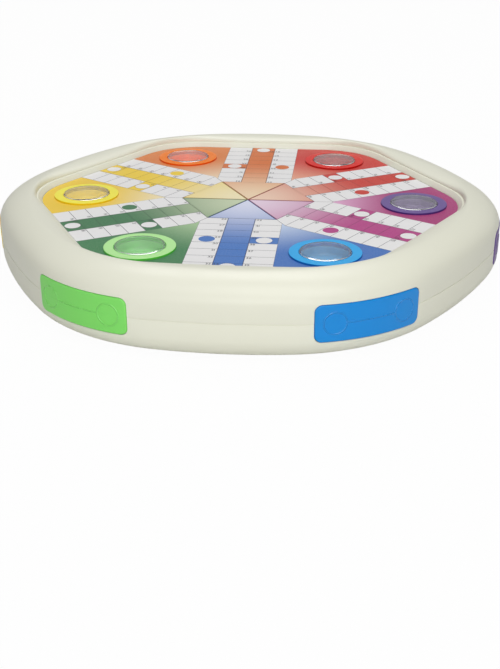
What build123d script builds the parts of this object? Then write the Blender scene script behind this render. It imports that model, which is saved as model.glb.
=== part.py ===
from build123d import *
from math import atan2, cos, degrees, radians, sin, sqrt
import os

# Two-sided game case for six players, in millimetres. The pachisi side faces up, the race side down.
# The origin is the middle of the lower crown, which is the face that the case rests on.

# Case outline at the seam: six bowed sides and six round corners
side_apothem = 200.8
corner_rise = 7.8
side_bow = 450.0
case_height = 63.0
straight_wall = 13.2
wall = 3.0
seam_depth = 0.35
seam_width = 0.3

# Crown of the rim, which both faces share
shoulder_run = 21.6
corner_shoulder_run = 25.4
crown_bow = 260.0
land_width = 1.5
crown_depth = 6.0

# Rim profile from the crown down to the board
rim_width = 41.3
rim_height = 8.8
board_corner_radius = 60.0
lip_height = 4.2
lip_run = 3.2
valley_width = 1.0
valley_depth = 0.5
board_gap = 0.3
board_thickness = 0.8
deck_thickness = 2.5

# Seam joint
tongue_height = 2.0
tongue_gap = 0.2
tongue_thickness = 1.3

# Ring and clear dome of a die station, measured up from the board
ring_margin = 9.2
ring_outer_radius = 27.2
ring_rise = 1.6
ring_edge = 0.7
ring_skirt_wall = 1.8
ring_skirt_length = 8.0
dome_radius = 18.0
dome_rise = 1.0
dome_wall = 1.2
dome_edge = 1.1
dome_gap = 0.4
flange_width = 2.0
flange_thickness = 1.6
press_travel = 3.0

# Floor dish under the dome
dish_rim_thickness = 1.4
dish_depth = 7.2
dish_wall = 1.2
dish_slope = 1.0
dish_floor_edge = 1.6
dish_boss_radius = 3.0
dish_boss_length = 2.0

# Die well and its bowed click spring
well_wall = 1.6
well_gap = 0.2
well_flange = 3.0
well_flange_thickness = 1.6
spring_half_length = 19.0
spring_width = 6.0
spring_thickness = 0.4
spring_gap = 0.1
well_floor_gap = 0.4

# Drawers in the corners
front_half_width = 41.3
front_height = 27.7
front_corner_radius = 5.0
front_thickness = 2.4
front_proud = 0.6
front_gap = 0.4
thumb_spacing = 54.6
thumb_radius = 8.6
thumb_ridge = 0.7
thumb_height = 0.4
thumb_line = 0.5
tray_half_width = 38.0
tray_wall = 1.8
tray_below_front = 1.9
tray_height = 22.5
drawer_travel = 24.0
slide_gap = 0.3
lug_reach = 5.0
lug_height = 8.0
guide_wall = 2.0
runner_spacing = 50.0

# Counters and dice kept in the drawers
counter_radius = 5.25
counter_height = 4.5
counter_rim = 1.2
counter_dish = 0.8
counter_spread = 1.2
counter_shift = 9.0
die_size = 8.0
die_edge = 1.0
die_shift = 16.0

# Case screws
screw_radius = 1.6
screw_length = 25.0
screw_head_radius = 3.4
screw_head_height = 2.2
screw_gap = 0.05
head_gap = 0.4
head_depth = 4.4
cross_length = 3.6
cross_width = 0.8
cross_depth = 1.2
boss_radius = 5.2
boss_inset = 9.5
inner_bosses = 3
inner_boss_radius = 70.0
inner_boss_turn = 30.0

players = {"purple": 0, "red": 60, "orange": 120, "yellow": 180, "green": 240, "blue": 300}
corners = 6
corner_turn = 360 / corners
side_turn = corner_turn / 2
crown_angle = 80
shoulder_angles = [0, 20, 40, 60, crown_angle]
roll_angles = [0, 30, 60, crown_angle]

# Derived places
half = case_height / 2
corner_reach = side_apothem + corner_rise
board_apothem = side_apothem - rim_width
corner_stretch = 1 / cos(radians(side_turn))
board_reach = board_apothem * corner_stretch - board_corner_radius * (corner_stretch - 1)
board_level = case_height - rim_height
recess_apothem = board_apothem + board_gap
lip_foot = board_level + board_gap
lip_level = lip_foot + lip_height
valley_apothem = recess_apothem + lip_run + valley_width
valley_reach = valley_apothem * corner_stretch - (board_corner_radius + lip_run) * (corner_stretch - 1)
crown_apothem = side_apothem - shoulder_run - land_width
crown_reach = corner_reach - corner_shoulder_run - land_width
deck_level = board_level - board_thickness
deck_underside = deck_level - deck_thickness
station_radius = board_reach - ring_outer_radius - ring_margin
ring_bore = dome_radius + dome_gap
flange_radius = dome_radius + flange_width
skirt_bore = flange_radius + dome_gap
skirt_radius = skirt_bore + ring_skirt_wall
well_bore = skirt_radius + well_gap
well_radius = well_bore + well_wall
dish_radius = dome_radius - dome_wall
dish_bottom = flange_thickness + dish_depth + dish_wall + dish_boss_length
well_depth = dish_bottom + press_travel + well_floor_gap + well_wall
front_bottom = half - front_height / 2
tray_floor = front_bottom + tray_below_front
bay_start = station_radius + well_radius + well_flange + slide_gap + guide_wall
tray_start = bay_start + slide_gap
lug_half_width = tray_half_width + lug_reach
bay_half_width = lug_half_width + slide_gap
head_seat = case_height - deck_level + head_depth
screw_tip = head_seat + screw_length
rim_ceiling = case_height - crown_depth
ceiling_rise = (rim_ceiling - half - straight_wall) / (half - straight_wall) * sin(radians(crown_angle))
ceiling_share = (1 - sqrt(1 - ceiling_rise ** 2)) / (1 - cos(radians(crown_angle)))


def corner_radius_for(apothem, reach, bow):
    # radius of the corner arc that meets bowed sides of this apothem in a smooth line
    lean = cos(radians(side_turn))
    inset = bow - apothem
    rest = bow * bow - reach * reach - inset * inset - 2 * inset * lean * reach
    return rest / (2 * bow - 2 * reach - 2 * inset * lean)


def lug_end():
    # where a drawer's side lugs end, so that they meet the wall after the drawer's travel
    radius = corner_radius_for(side_apothem - wall, corner_reach - wall, side_bow)
    stop = corner_reach - wall - radius + sqrt(radius ** 2 - lug_half_width ** 2)
    return stop - slide_gap - drawer_travel


def bowed_outline(apothem, reach, bow):
    # six corner arcs joined by six bowed side arcs
    radius = corner_radius_for(apothem, reach, bow)
    inset = bow - apothem
    offset_x = (reach - radius) + inset * cos(radians(side_turn))
    offset_y = inset * sin(radians(side_turn))
    spread = degrees(atan2(offset_y, offset_x))
    edges = []
    for index in range(corners):
        turn = corner_turn * index
        middle = Vector(reach - radius, 0, 0).rotate(Axis.Z, turn)
        far = Vector(-inset, 0, 0).rotate(Axis.Z, turn + side_turn)
        edges.append(CenterArc(middle, radius, turn - spread, 2 * spread))
        edges.append(CenterArc(far, bow, turn + spread, corner_turn - 2 * spread))
    return make_face(edges)


def straight_outline(apothem, radius):
    # a hexagon with straight sides and round corners
    reach = (apothem - radius) * corner_stretch
    edges = []
    for index in range(corners):
        turn = corner_turn * index
        middle = Vector(reach, 0, 0).rotate(Axis.Z, turn)
        following = Vector(reach, 0, 0).rotate(Axis.Z, turn + corner_turn)
        edges.append(CenterArc(middle, radius, turn - side_turn, corner_turn))
        side = Vector(radius, 0, 0).rotate(Axis.Z, turn + side_turn)
        edges.append(Line(middle + side, following + side))
    return make_face(edges)


def shoulder_section(angle, grow):
    # outline of the case at one angle of the shoulder's elliptical roll, grown outwards
    share = (1 - cos(radians(angle))) / (1 - cos(radians(crown_angle)))
    rise = sin(radians(angle)) / sin(radians(crown_angle))
    apothem = side_apothem - shoulder_run * share + grow * (1 - share)
    reach = corner_reach - corner_shoulder_run * share + grow * (1 - share)
    bow = side_bow + (crown_bow - side_bow) * share
    height = half + straight_wall + (half - straight_wall + grow) * rise
    return Pos(0, 0, height) * bowed_outline(apothem, reach, bow)


def half_form(grow):
    # upper half of the case as a closed solid, standing on the seam
    foot = Pos(0, 0, half) * bowed_outline(side_apothem + grow, corner_reach + grow, side_bow)
    band = extrude(foot, straight_wall)
    return band + loft([shoulder_section(angle, grow) for angle in shoulder_angles])


def other_way_up(piece):
    return mirror(piece, about=Plane.XY.offset(half))


def whole_form(grow):
    upper = half_form(grow)
    return upper + other_way_up(upper)


def valley_outline():
    return straight_outline(recess_apothem + lip_run + valley_width, board_corner_radius + lip_run)


def crown_roll_section(angle):
    # outline of the crown's inner roll, from the valley line at 0 to the crown
    level = lip_level + (case_height - lip_level) * sin(radians(angle)) / sin(radians(crown_angle))
    if angle == 0:
        return Pos(0, 0, level) * valley_outline()
    run = (1 - cos(radians(angle))) / (1 - cos(radians(crown_angle)))
    apothem = valley_apothem + (crown_apothem - valley_apothem) * run
    reach = valley_reach + (crown_reach - valley_reach) * run
    return Pos(0, 0, level) * bowed_outline(apothem, reach, crown_bow / run)


def recess_cuts():
    # what is cut away above the board: straight foot, sloped lip, valley line and the crown's inner roll
    floor = straight_outline(recess_apothem, board_corner_radius)
    lip_top = straight_outline(recess_apothem + lip_run, board_corner_radius + lip_run)
    foot = extrude(Pos(0, 0, deck_level) * floor, lip_foot - deck_level)
    lip = loft([Pos(0, 0, lip_foot) * floor, Pos(0, 0, lip_level) * lip_top], ruled=True)
    valley = extrude(Pos(0, 0, lip_level - valley_depth) * valley_outline(), valley_depth)
    roll = loft([crown_roll_section(angle) for angle in roll_angles])
    return [foot, lip, valley, roll]


def inner_form(inset, ceiling):
    # flat-sided inside of the case half, which keeps at least the inset as its wall
    foot = bowed_outline(side_apothem - inset, corner_reach - inset, side_bow)
    band = extrude(Pos(0, 0, half) * foot, straight_wall)
    start = Pos(0, 0, half + straight_wall) * foot
    run = shoulder_run * ceiling_share
    corner_run = corner_shoulder_run * ceiling_share
    bow = side_bow + (crown_bow - side_bow) * ceiling_share
    top = bowed_outline(side_apothem - run - inset, corner_reach - corner_run - inset, bow)
    return band + loft([start, Pos(0, 0, ceiling) * top], ruled=True)


def cavity():
    # hollow under the deck and inside the hollow rim
    core = straight_outline(recess_apothem + wall, board_corner_radius + wall)
    return inner_form(wall, rim_ceiling) - extrude(Pos(0, 0, deck_underside) * core, case_height)


def front_prism(gap):
    # the drawer front's outline, swept outwards along the corner's radius, which is +X
    outline = RectangleRounded(2 * (front_half_width + gap), front_height + 2 * gap, front_corner_radius + gap)
    return extrude(Plane.YZ.offset(tray_start) * Pos(0, half) * outline, corner_reach)


def standing_box(start, end, width, low, high):
    # box along +X between two heights
    middle = Pos((start + end) / 2, 0, (low + high) / 2)
    return middle * Box(end - start, width, high - low)


def bay_walls():
    # a drawer's guides: two side walls and a back stop, hanging from the deck
    top = deck_level - deck_thickness / 2
    outer = standing_box(bay_start - guide_wall, corner_reach, 2 * (bay_half_width + guide_wall), half, top)
    inner = standing_box(bay_start, corner_reach, 2 * bay_half_width, half, top)
    return outer - inner


def guide_ribs(low):
    # two ribs along the drawer's path, from the given height up into the deck and the rim
    top = deck_level - deck_thickness / 2
    rib = standing_box(bay_start, corner_reach, guide_wall, low, top)
    return [Pos(0, side * runner_spacing / 2, 0) * rib for side in (-1, 1)]


def boss_places():
    places = []
    for index in range(corners):
        places.append(Rot(0, 0, corner_turn * index + side_turn) * Pos(board_apothem - boss_inset, 0, 0))
    for index in range(inner_bosses):
        places.append(Rot(0, 0, 360 / inner_bosses * index + inner_boss_turn) * Pos(inner_boss_radius, 0, 0))
    return places


def column(radius, low, high):
    return Pos(0, 0, low) * Cylinder(radius, high - low, align=(Align.CENTER, Align.CENTER, Align.MIN))


def seam_groove():
    # shallow line round the case where the shells meet
    outline = bowed_outline(side_apothem + wall, corner_reach + wall, side_bow)
    inner = bowed_outline(side_apothem - seam_depth, corner_reach - seam_depth, side_bow)
    return extrude(Pos(0, 0, half) * (outline - inner), seam_width)


def tongue_band(gap, height):
    # band along the inside of the wall that keys the two shells together
    outer = side_apothem - wall + tongue_thickness + gap
    outer_reach = corner_reach - wall + tongue_thickness + gap
    band = bowed_outline(outer, outer_reach, side_bow)
    band -= bowed_outline(side_apothem - wall, corner_reach - wall, side_bow)
    return extrude(Pos(0, 0, half) * band, height)


def spread(piece):
    # the same piece at all six corners
    return [Rot(0, 0, turn) * piece for turn in players.values()]


def shell_blank():
    # what both shells share, drawn as the upper one
    shell = half_form(0) - [*recess_cuts(), cavity(), seam_groove()]
    shell -= spread(front_prism(front_gap))
    return shell + spread(bay_walls() & inner_form(wall / 2, rim_ceiling))


def deck_zone():
    # the space of the upper shell's deck, with the drawers' back stops under it
    deck = extrude(Pos(0, 0, half) * straight_outline(recess_apothem, board_corner_radius), half)
    stop = standing_box(bay_start - guide_wall, bay_start, 2 * (bay_half_width + guide_wall),
                        half, deck_level - deck_thickness / 2)
    return deck + spread(stop)


def divided(shell, deck_space):
    # the moulding as touching solids: deck, hoods over the drawers and sides between them
    hood_width = 2 * (front_half_width - front_corner_radius)
    hoods = spread(standing_box(station_radius, corner_reach, hood_width, 0, case_height))
    rim = shell - deck_space
    pieces = (shell & deck_space).solids() + (rim - hoods).solids()
    for hood in hoods:
        pieces += (rim & hood).solids()
    return pieces


def with_ribs(blank, low):
    # the ribs end just behind the drawer's front
    limit = inner_form(front_thickness - front_proud + slide_gap, rim_ceiling)
    ribs = [rib & limit for rib in guide_ribs(low)]
    return blank + [*spread(ribs[0]), *spread(ribs[1])]


def upper_shell(blank):
    shell = with_ribs(blank, tray_floor + tray_height + slide_gap)
    shell += [place * column(boss_radius, half, deck_level - deck_thickness / 2) for place in boss_places()]
    cuts = [tongue_band(tongue_gap, tongue_height + tongue_gap)]
    for place in boss_places():
        cuts.append(place * column(screw_radius + screw_gap, half, screw_tip + head_gap))
    for place in station_places().values():
        cuts.append(place * column(skirt_radius + well_gap, -case_height, case_height))
    return divided(shell - cuts, deck_zone())


def lower_shell(blank):
    shell = other_way_up(with_ribs(blank, case_height - tray_floor + slide_gap))
    tongue = tongue_band(0, tongue_height) - spread(front_prism(front_gap))
    low = case_height - deck_level + deck_thickness / 2
    shell += [tongue, *[place * column(boss_radius, low, half) for place in boss_places()]]
    cuts = [race_place() * column(skirt_radius + well_gap, -case_height, well_depth)]
    for place in boss_places():
        cuts.append(place * column(screw_head_radius + head_gap, 0, head_seat))
        cuts.append(place * column(screw_radius + screw_gap, 0, half))
    return divided(shell - cuts, other_way_up(deck_zone()))


def sheet(openings):
    # a printed board with round openings for the rings
    blank = straight_outline(board_apothem, board_corner_radius)
    board = extrude(Pos(0, 0, deck_level) * blank, board_thickness)
    for place in openings:
        board -= place * column(skirt_radius + well_gap, -case_height, case_height)
    return board


def station_places():
    # the six stations of the upper side, with the board's surface as their zero height
    return {name: Pos(0, 0, board_level) * Rot(0, 0, turn) * Pos(station_radius, 0, 0)
            for name, turn in players.items()}


def race_place():
    # the one station of the lower side, facing down
    return Pos(0, 0, case_height - board_level) * Rot(180, 0, 0)


def turned(points):
    # solid of revolution about the station's axis, from points of radius and height
    outline = make_face(Polyline(*[(radius, 0, height) for radius, height in points], close=True))
    return revolve(outline, Axis.Z)


def ring():
    # flat collar on the board, with a skirt that goes down through the deck
    body = turned([
        (ring_bore, 0), (ring_bore, ring_rise), (ring_outer_radius, ring_rise), (ring_outer_radius, 0),
        (skirt_radius, 0), (skirt_radius, -ring_skirt_length), (skirt_bore, -ring_skirt_length), (skirt_bore, 0)])
    top = body.edges().filter_by(GeomType.CIRCLE).group_by(Axis.Z)[-1]
    outer = top.sort_by(SortBy.RADIUS)[-1]
    return chamfer(outer, ring_edge)


def dome():
    # clear flat-topped cap with a flange that stays under the ring's lip
    top = ring_rise + dome_rise
    inside = dome_radius - dome_wall
    body = turned([
        (0, top), (dome_radius, top), (dome_radius, 0), (flange_radius, 0), (flange_radius, -flange_thickness),
        (inside, -flange_thickness), (inside, top - dome_wall), (0, top - dome_wall)])
    edge = body.edges().filter_by(GeomType.CIRCLE).group_by(Axis.Z)[-1]
    return chamfer(edge, dome_edge)


def dish():
    # coloured floor under the dome, a flat pan with a pressing boss below
    rim = -flange_thickness
    low = rim - dish_depth
    floor = low - dish_wall
    under = rim - dish_rim_thickness
    foot = dish_radius - dish_slope
    return turned([
        (0, low), (foot - dish_floor_edge, low), (foot, low + dish_floor_edge), (dish_radius, rim),
        (flange_radius, rim), (flange_radius, under), (dish_radius + dish_wall, under),
        (foot + dish_wall, low), (foot - dish_floor_edge, floor), (dish_boss_radius, floor),
        (dish_boss_radius, -dish_bottom), (0, -dish_bottom)])


def well():
    # cup bonded under the deck by its flange
    top = -board_thickness - deck_thickness
    return turned([
        (0, -well_depth), (well_radius, -well_depth), (well_radius, top - well_flange_thickness),
        (well_radius + well_flange, top - well_flange_thickness), (well_radius + well_flange, top),
        (well_bore, top), (well_bore, -well_depth + well_wall), (0, -well_depth + well_wall)])


def click_spring():
    # steel strip bowed up from the well's floor to just under the dish's boss
    low = -well_depth + well_wall
    high = -dish_bottom - spring_gap
    reach = spring_half_length
    upper = ThreePointArc((-reach, 0, low + spring_thickness), (0, 0, high), (reach, 0, low + spring_thickness))
    lower = ThreePointArc((-reach, 0, low), (0, 0, high - spring_thickness), (reach, 0, low))
    ends = [Line((side * reach, 0, low), (side * reach, 0, low + spring_thickness)) for side in (-1, 1)]
    return extrude(make_face([upper, lower, *ends]), spring_width / 2, dir=(0, 1, 0), both=True)


def drawer_front():
    # front plate that follows the corner's curve, with two thumb circles joined by a line
    skin = whole_form(front_proud) - whole_form(front_proud - front_thickness)
    plate = front_prism(0) & skin
    limit = whole_form(front_proud + thumb_height) - whole_form(front_proud - thumb_height)
    marks = [Rectangle(thumb_spacing - 2 * thumb_radius + thumb_ridge, thumb_line)]
    for side in (-1, 1):
        marks.append(Pos(side * thumb_spacing / 2, 0) * (Circle(thumb_radius) - Circle(thumb_radius - thumb_ridge)))
    ridges = [extrude(Plane.YZ.offset(tray_start) * Pos(0, half) * mark, corner_reach) for mark in marks]
    return plate + [ridge & limit for ridge in ridges]


def drawer():
    # curved front with the tray behind it, drawn for the corner on +X
    top = tray_floor + tray_height
    block = standing_box(tray_start, corner_reach, 2 * tray_half_width, tray_floor, top)
    inside = standing_box(tray_start + tray_wall, corner_reach, 2 * (tray_half_width - tray_wall),
                          tray_floor + tray_wall, top + tray_wall)
    lugs = standing_box(tray_start, lug_end(), 2 * lug_half_width,
                        half - lug_height / 2, half + lug_height / 2)
    tray = block & whole_form(front_proud - front_thickness / 2)
    hollow = inside & whole_form(front_proud - front_thickness)
    return (drawer_front() + [tray, lugs]) - hollow


def counter():
    # flat disc with a raised rim on its upper face
    face = counter_height - counter_dish
    body = column(counter_radius, 0, counter_height)
    return body - column(counter_radius - counter_rim, face, counter_height)


def counters():
    # four counters side by side on the tray's floor
    pitch = 2 * counter_radius + counter_spread
    first = tray_start + tray_wall + counter_radius + counter_spread
    floor = tray_floor + tray_wall
    places = [Pos(first + pitch * row, -counter_shift - pitch * column_number, floor)
              for row in (0, 1) for column_number in (0, 1)]
    return [place * counter() for place in places]


def die():
    # small die beside the counters
    middle = tray_start + tray_wall + counter_radius + counter_spread + counter_radius
    cube = Box(die_size, die_size, die_size)
    cube = chamfer(cube.edges(), die_edge)
    return Pos(middle, die_shift, tray_floor + tray_wall + die_size / 2) * cube


def case_screw():
    # pan-head screw, head down, with a cross recess
    head = column(screw_head_radius, head_seat - screw_head_height, head_seat)
    top = head_seat - screw_head_height
    slot = standing_box(-cross_length / 2, cross_length / 2, cross_width, top, top + cross_depth)
    slots = [Rot(0, 0, turn) * slot for turn in (0, 90)]
    return head + column(screw_radius, head_seat, screw_tip) - slots


def save(name, shapes):
    piece = Compound(children=shapes) if isinstance(shapes, list) else shapes
    piece.label = name
    export_step(piece, "parts/" + name + ".step")


os.makedirs("parts", exist_ok=True)
blank = shell_blank()
save("upper_shell", upper_shell(blank))
save("lower_shell", lower_shell(blank))
save("pachisi_board", sheet(list(station_places().values())))
save("race_board", other_way_up(sheet([Pos(0, 0, 0)])))

box = drawer()
for player, turn in players.items():
    place = station_places()[player]
    spin = Rot(0, 0, turn)
    save("ring_" + player, place * ring())
    save("dome_" + player, place * dome())
    save("dish_" + player, place * dish())
    save("spring_" + player, place * click_spring())
    save("drawer_" + player, spin * box)
    save("counters_" + player, [spin * piece for piece in counters()])
    save("die_" + player, spin * die())

save("race_ring", race_place() * ring())
save("race_dome", race_place() * dome())
save("race_dish", race_place() * dish())
save("race_spring", race_place() * click_spring())
save("die_wells", [place * well() for place in [*station_places().values(), race_place()]])
save("case_screws", [place * case_screw() for place in boss_places()])
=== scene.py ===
import math

import bmesh
import bpy
import numpy as np
from mathutils import Matrix, Vector, geometry


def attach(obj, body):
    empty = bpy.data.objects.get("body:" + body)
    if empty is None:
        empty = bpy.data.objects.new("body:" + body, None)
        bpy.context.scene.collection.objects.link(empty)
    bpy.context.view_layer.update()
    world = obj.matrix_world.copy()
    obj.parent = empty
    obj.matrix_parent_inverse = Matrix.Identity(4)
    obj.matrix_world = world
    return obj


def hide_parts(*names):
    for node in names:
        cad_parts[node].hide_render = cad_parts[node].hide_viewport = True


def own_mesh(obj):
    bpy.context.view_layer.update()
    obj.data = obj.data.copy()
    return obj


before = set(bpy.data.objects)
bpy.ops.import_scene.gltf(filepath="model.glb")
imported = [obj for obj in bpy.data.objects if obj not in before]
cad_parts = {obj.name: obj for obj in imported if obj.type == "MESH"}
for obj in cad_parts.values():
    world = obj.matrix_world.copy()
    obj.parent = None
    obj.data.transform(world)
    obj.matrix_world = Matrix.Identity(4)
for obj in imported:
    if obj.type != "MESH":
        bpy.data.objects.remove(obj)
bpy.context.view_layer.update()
print("frame loaded:", len(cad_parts), "nodes")

mm = 0.001
toSide = math.pi / 6  # the turn from a corner to the middle of the next side
playerTurn = {"purple": 0, "red": 60, "orange": 120, "yellow": 180, "green": 240, "blue": 300}

# sizes of the case, as in the part's source, in millimetres
caseForm = {
    "sideApothem": 200.8, "cornerReach": 208.6, "sideBow": 450.0, "height": 63.0, "straightWall": 13.2,
    "wall": 3.0, "shoulderRun": 21.6, "cornerShoulderRun": 25.4, "crownBow": 260.0, "crownAngle": 80.0,
    "landWidth": 1.5, "crownDepth": 6.0, "seamDepth": 0.35, "seamWidth": 0.3,
    "boardApothem": 159.5, "boardCorner": 60.0, "boardGap": 0.3, "boardLevel": 54.2,
    "boardThickness": 0.8, "deckThickness": 2.5,
    "lipHeight": 4.2, "lipRun": 3.2, "valleyWidth": 1.0, "valleyDepth": 0.5,
    "turns": 720, "rollSteps": 14, "arcSteps": 3, "arcShare": 0.45,
}
half = caseForm["height"] / 2
boardLevel = caseForm["boardLevel"]


def polar(radius, angle):
    return (radius * math.cos(angle), radius * math.sin(angle))


def circle(x, y, radius, count=48):
    return [(x + a, y + b) for a, b in (polar(radius, 2 * math.pi * k / count) for k in range(count))]


def turnZ(degrees):
    return Matrix.Rotation(math.radians(degrees), 4, "Z")


def linked(name, data):
    thing = bpy.data.objects.new(name, data)
    bpy.context.scene.collection.objects.link(thing)
    return thing


def evaluated(thing):
    # the plain mesh that comes out of an object, which then goes with its modifiers
    made = bpy.data.meshes.new_from_object(thing.evaluated_get(bpy.context.evaluated_depsgraph_get()))
    thing.modifiers.clear()
    bpy.data.objects.remove(thing)
    return made


def addPiece(name, mesh, body, slotName, *nodes):
    piece = linked(name, mesh)
    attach(piece, body)
    if nodes:
        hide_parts(*nodes)
    return piece


def meshFrom(name, points, faces, materials=(), indices=None):
    # points in millimetres
    mesh = bpy.data.meshes.new(name)
    mesh.from_pydata([tuple(p) for p in np.asarray(points) * mm], [], [tuple(int(i) for i in f) for f in faces])
    for material in materials:
        mesh.materials.append(material)
    if indices is not None:
        mesh.polygons.foreach_set("material_index", np.asarray(indices, np.int32))
    mesh.update()
    return mesh


def bands(starts, count):
    # faces between loops of count points, which begin at the given numbers
    return [(a + i, a + (i + 1) % count, b + (i + 1) % count, b + i)
            for a, b in zip(starts, starts[1:]) for i in range(count)]


def written(work, name):
    mesh = bpy.data.meshes.new(name)
    work.to_mesh(mesh)
    work.free()
    return mesh


def smoothByAngle(mesh, degrees=32, recalc=True):
    work = bmesh.new()
    work.from_mesh(mesh)
    if recalc:
        bmesh.ops.recalc_face_normals(work, faces=work.faces)
    for face in work.faces:
        face.smooth = True
    for edge in work.edges:
        edge.smooth = len(edge.link_faces) == 2 and edge.calc_face_angle(0) < math.radians(degrees)
    work.to_mesh(mesh)
    work.free()
    return mesh


def joinMeshes(name, meshes, materials, first=None):
    # the meshes after the first few take the second material
    work = bmesh.new()
    for mesh in meshes:
        work.from_mesh(mesh)
    joined = written(work, name)
    for material in materials:
        joined.materials.append(material)
    if first:
        count = sum(len(mesh.polygons) for mesh in meshes[:first])
        joined.polygons.foreach_set("material_index", [int(i >= count) for i in range(len(joined.polygons))])
    return joined


def withMaterial(mesh, material):
    mesh.materials.clear()
    mesh.materials.append(material)
    return mesh


def softCorners(points, steps, share, closed=False):
    # points are (across, up, rounding), as numbers or arrays; a rounding makes a short arc of a corner and
    # takes at most the given share of the lines beside it
    pairs = [np.stack(np.broadcast_arrays(x, y)).astype(float) for x, y, _ in points]
    out = []
    for index, here in enumerate(pairs):
        rounding = points[index][2]
        if rounding == 0 or (not closed and index in (0, len(pairs) - 1)):
            out.append(here)
            continue
        arms = []
        for near in (pairs[index - 1], pairs[(index + 1) % len(pairs)]):
            length = np.linalg.norm(near - here, axis=0)
            arms.append((near - here) / length * np.minimum(rounding, share * length))
        for u in [step / steps for step in range(steps + 1)]:
            out.append(here + (1 - u) ** 2 * arms[0] + u * u * arms[1])
    return out


def turnedMesh(name, points, closed, place, segments=128, steps=4):
    # solid turned about its own Z, then set in place by a 4x4 matrix in millimetres
    verts, faces, rings = [], [], []
    for radius, height in softCorners(points, steps, 0.48, closed):
        count = segments if radius > 1e-6 else 1
        rings.append([len(verts) + index % count for index in range(segments + 1)])
        verts += [(*polar(radius, 2 * math.pi * index / segments), height) for index in range(count)]
    for lower, upper in zip(rings, rings[1:] + (rings[:1] if closed else [])):
        for i in range(segments):
            face = tuple(dict.fromkeys((lower[i], lower[i + 1], upper[i + 1], upper[i])))
            if len(face) > 2:
                faces.append(face)
    return smoothByAngle(meshFrom(name, [place @ Vector(v) for v in verts], faces))


def boxMesh(name, low, high, place=Matrix.Identity(4), bevel=0.4):
    work = bmesh.new()
    bmesh.ops.create_cube(work, size=1)
    for vert in work.verts:
        for axis in range(3):
            vert.co[axis] = high[axis] if vert.co[axis] > 0 else low[axis]
    bmesh.ops.bevel(work, geom=work.edges[:], offset=bevel, segments=3, profile=0.5, affect="EDGES")
    for vert in work.verts:
        vert.co = (place @ vert.co) * mm
    return smoothByAngle(written(work, name))


# outlines of the case as radii over the turn

def foldedTurn(turn):
    return np.abs((turn + toSide) % (2 * toSide) - toSide)


def arcRadius(turn, middle, radius):
    # distance to a circle about a point on the corner's line
    return middle * np.cos(turn) + np.sqrt(np.maximum(radius ** 2 - (middle * np.sin(turn)) ** 2, 0))


def cornerArc(apothem, reach, bow):
    # how far a side's centre lies behind the middle, the corner's radius and the place of its centre
    inset = bow - apothem
    lean = inset * math.cos(toSide)
    rest = bow * bow - reach * reach - inset * inset - 2 * lean * reach
    corner = rest / (2 * bow - 2 * reach - 2 * lean)
    return inset, corner, reach - corner


def bowedRadius(turn, apothem, reach, bow):
    inset, corner, middle = cornerArc(apothem, reach, bow)
    spread = math.atan2(inset * math.sin(toSide), middle + inset * math.cos(toSide))
    meet = math.atan2(corner * math.sin(spread), middle + corner * math.cos(spread))
    t = foldedTurn(turn)
    nearSide = -inset * np.cos(toSide - t) + np.sqrt(bow ** 2 - (inset * np.sin(toSide - t)) ** 2)
    return np.where(t < meet, arcRadius(t, middle, corner), nearSide)


def straightRadius(turn, apothem, radius):
    middle = (apothem - radius) / math.cos(toSide)
    meet = math.atan2(radius * 0.5, middle + radius * math.cos(toSide))
    t = foldedTurn(turn)
    return np.where(t < meet, arcRadius(t, middle, radius), apothem / np.cos(toSide - t))


def straightLoop(apothem, corner, count=240):
    turn = np.arange(count) * 2 * math.pi / count
    return [polar(r, t) for r, t in zip(straightRadius(turn, apothem, corner), turn)]


def shoulderShare(height):
    # how far the shoulder has rolled in at a height above the straight wall, from 0 to 1
    f = caseForm
    crown = math.radians(f["crownAngle"])
    rise = (abs(height - half) - f["straightWall"]) / (half - f["straightWall"])
    lift = np.clip(rise, 0, 1) * math.sin(crown)
    return float((1 - np.sqrt(1 - lift ** 2)) / (1 - math.cos(crown)))


def caseBow(share, grow=0.0):
    # apothem, reach and bow of the outline where the shoulder has rolled in by a share
    f = caseForm
    side = grow * (1 - share)
    return (f["sideApothem"] - f["shoulderRun"] * share + side,
            f["cornerReach"] - f["cornerShoulderRun"] * share + side,
            f["sideBow"] + (f["crownBow"] - f["sideBow"]) * share)


def wallReach(across):
    # the case's inner wall beside a corner, at mid height
    turn = np.arctan2(across, caseForm["cornerReach"] - caseForm["wall"])
    for _ in range(3):
        radius = bowedRadius(turn, *caseBow(0, -caseForm["wall"]))
        turn = np.arcsin(across / radius)
    return float(radius * np.cos(turn))


def onFront(y, z, lift, grow):
    # a point on the corner's surface grown outward; z counts from mid height
    _, corner, middle = cornerArc(*caseBow(shoulderShare(z + half), grow))
    return (middle + math.sqrt(corner ** 2 - y ** 2) + lift, y, z + half)


# materials

def linear(colour):
    # sRGB 0-255 to the linear values that the shader wants
    shares = [value / 255 for value in colour]
    return (*[c / 12.92 if c <= 0.04045 else ((c + 0.055) / 1.055) ** 2.4 for c in shares], 1.0)


def node(tree, kind, values=None, **settings):
    made = tree.nodes.new(kind)
    for key, value in settings.items():
        setattr(made, key, value)
    for key, value in (values or {}).items():
        made.inputs[key].default_value = value
    return made


def shade(tree, kind, values=None, **settings):
    return node(tree, "ShaderNode" + kind, values, **settings)


def wire(tree, *links):
    # each link is a node and its output, then a node and its input
    for source, output, target, socket in links:
        tree.links.new(source.outputs[output], target.inputs[socket])


def noise(tree, place, scale, detail, rough=0.5, distortion=0.0, output="Object"):
    made = shade(tree, "TexNoise", {
        "Scale": scale, "Detail": detail, "Roughness": rough, "Distortion": distortion})
    wire(tree, (place, output, made, "Vector"))
    return made


def mapped(tree, source, low, high, start, end):
    made = shade(tree, "MapRange", {"From Min": low, "From Max": high, "To Min": start, "To Max": end})
    wire(tree, (source, "Fac", made, "Value"))
    return made


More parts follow.
